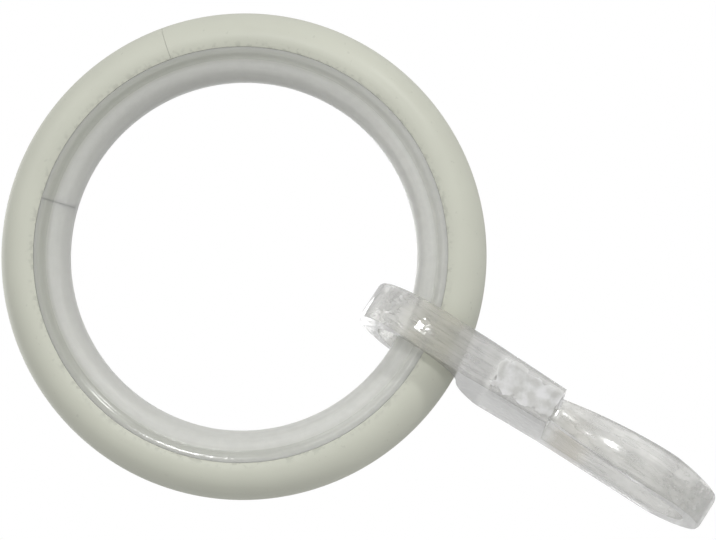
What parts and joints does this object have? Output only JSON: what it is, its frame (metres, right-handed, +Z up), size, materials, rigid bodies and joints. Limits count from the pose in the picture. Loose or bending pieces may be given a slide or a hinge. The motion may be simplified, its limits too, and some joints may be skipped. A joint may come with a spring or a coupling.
{
  "type": "curtain ring",
  "caption": "Cream coated curtain ring with a translucent inner glide liner and a clear plastic hook that hangs from it, eye above and sprung lower loop for the heading tape.",
  "frame": {"origin": "centre of the ring, on the pole's axis", "axes": "+Y along the pole, +Z up, so the hook hangs towards -Z from near the ring's lowest point"},
  "size_m": [0.055, 0.0138, 0.087],
  "materials": {
    "cream_coat": "smooth satin cream coating on thin steel strip",
    "milky_plastic": "translucent milky polypropylene, smooth",
    "clear_plastic": "clear moulded plastic, glossy, slightly cloudy"
  },
  "bodies": {
    "ring": {"ring_shell": "cream_coat", "glide_liner": "milky_plastic"},
    "hook": {"hook": "clear_plastic"}
  },
  "joints": [
    {"name": "hook_swing", "type": "hinge", "parent": "ring", "child": "hook", "pos_m": [0.00322, 0, -0.02265], "axis": [0.9839, 0.1788, 0], "range_deg": [-100, 100]}
  ]
}
